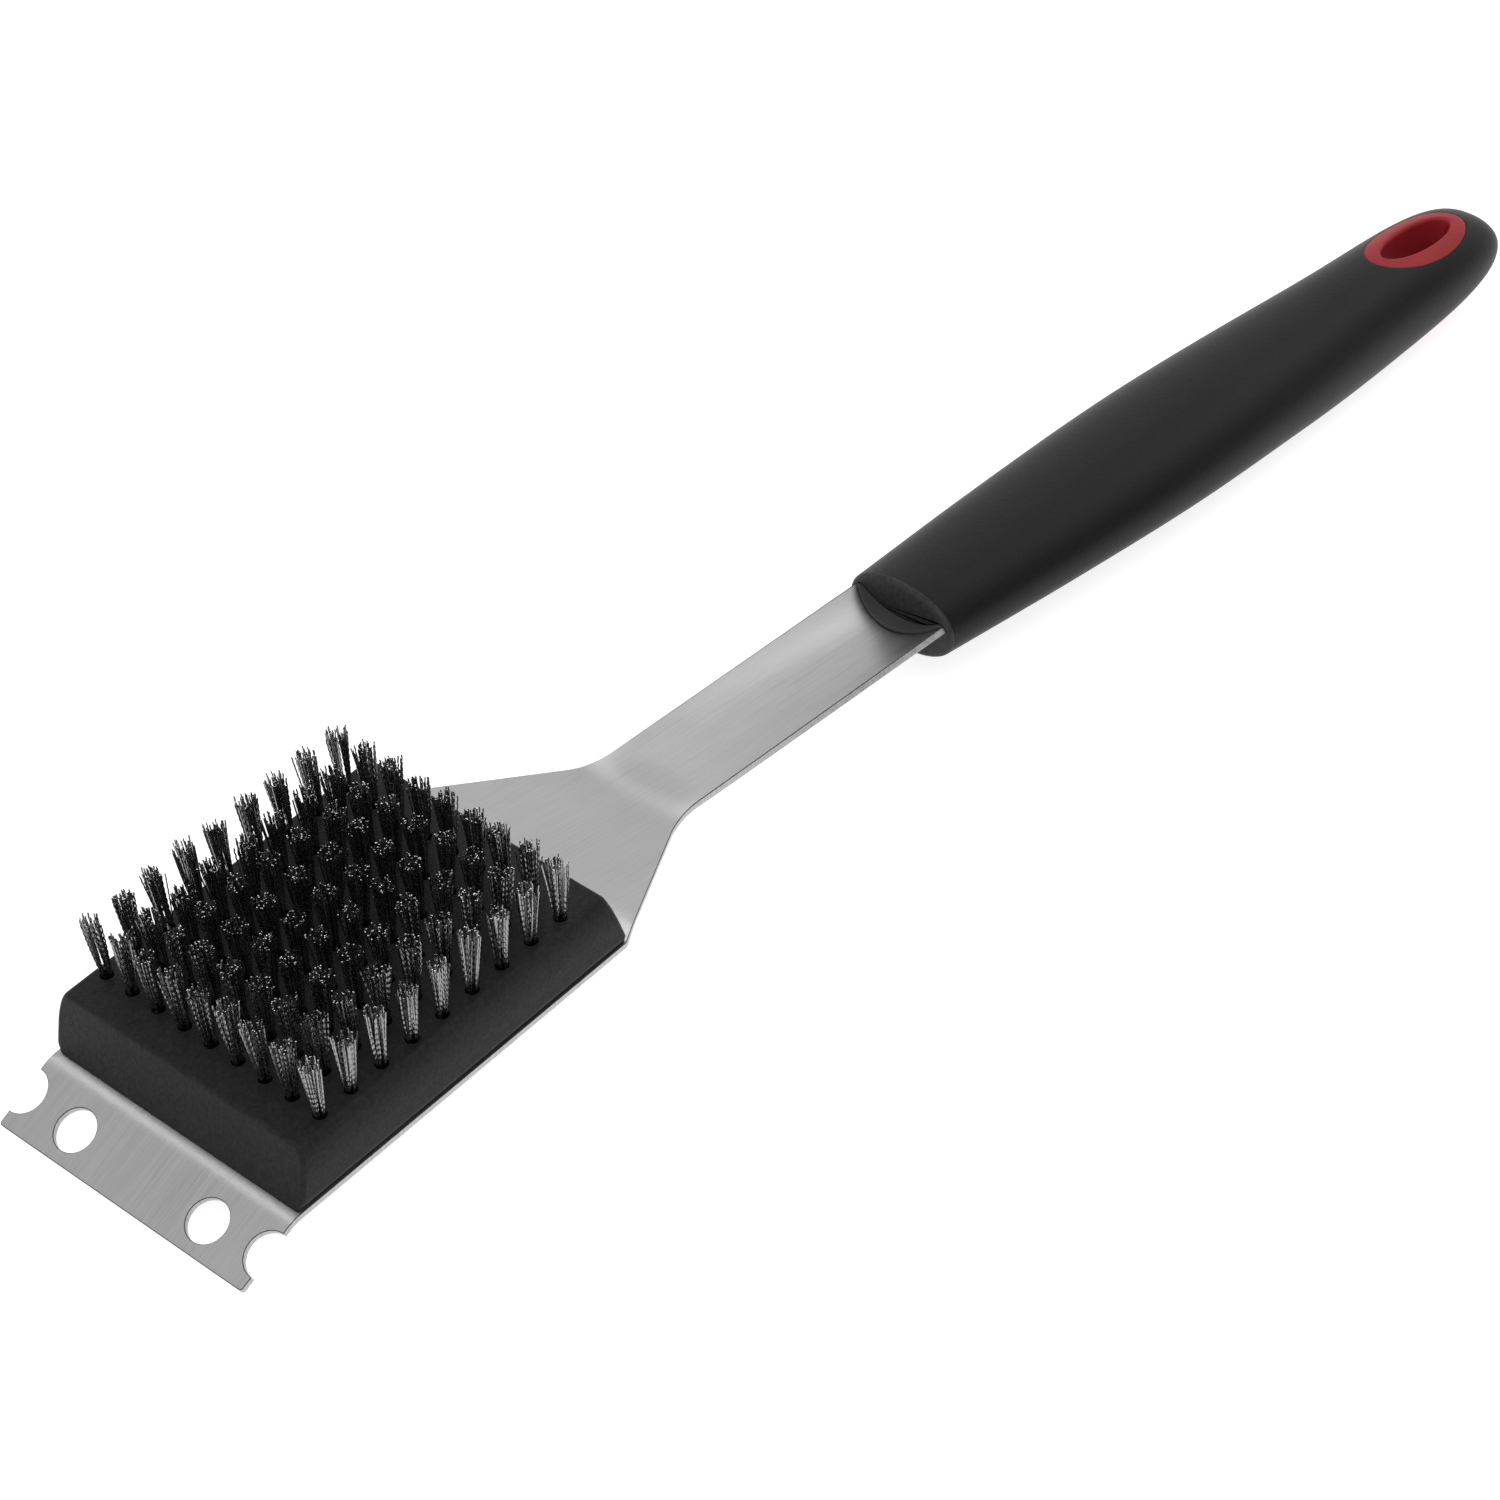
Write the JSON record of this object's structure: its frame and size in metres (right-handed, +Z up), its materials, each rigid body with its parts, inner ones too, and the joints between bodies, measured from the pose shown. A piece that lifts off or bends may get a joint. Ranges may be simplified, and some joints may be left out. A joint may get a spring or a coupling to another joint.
{
  "type": "grill cleaning brush",
  "caption": "Long-handled wire grill brush: bristle block on a stamped steel blade with a notched scraper nose, dished strap, soft oval grip and a lined hang hole.",
  "frame": {"origin": "centre of the footprint on the surface that the brush lies on, bristles up", "axes": "+X from the scraper to the handle's tail, +Y across the brush, +Z up through the bristles"},
  "size_m": [0.4586, 0.0708, 0.0492],
  "materials": {
    "blade_steel": "satin",
    "block_plastic": "matte",
    "bristle_wire": "satin",
    "anchor_wire": "satin",
    "screw_steel": "satin",
    "core_plastic": "matte",
    "pin_steel": "satin",
    "grip_rubber": "matte",
    "liner_plastic": "satin"
  },
  "bodies": {
    "root": {"steel_blade": "blade_steel", "brush_block": "block_plastic", "tuft_row_1": "bristle_wire", "tuft_row_2": "bristle_wire", "tuft_row_3": "bristle_wire", "tuft_row_4": "bristle_wire", "tuft_row_5": "bristle_wire", "tuft_row_6": "bristle_wire", "tuft_row_7": "bristle_wire", "tuft_row_8": "bristle_wire", "tuft_row_9": "bristle_wire", "anchor_row_1": "anchor_wire", "anchor_row_2": "anchor_wire", "anchor_row_3": "anchor_wire", "anchor_row_4": "anchor_wire", "anchor_row_5": "anchor_wire", "anchor_row_6": "anchor_wire", "anchor_row_7": "anchor_wire", "anchor_row_8": "anchor_wire", "anchor_row_9": "anchor_wire", "block_screws": "screw_steel", "handle_core_upper": "core_plastic", "handle_core_lower": "core_plastic", "tang_pins": "pin_steel", "grip_sleeve": "grip_rubber", "hang_hole_liner": "liner_plastic"}
  },
  "joints": []
}
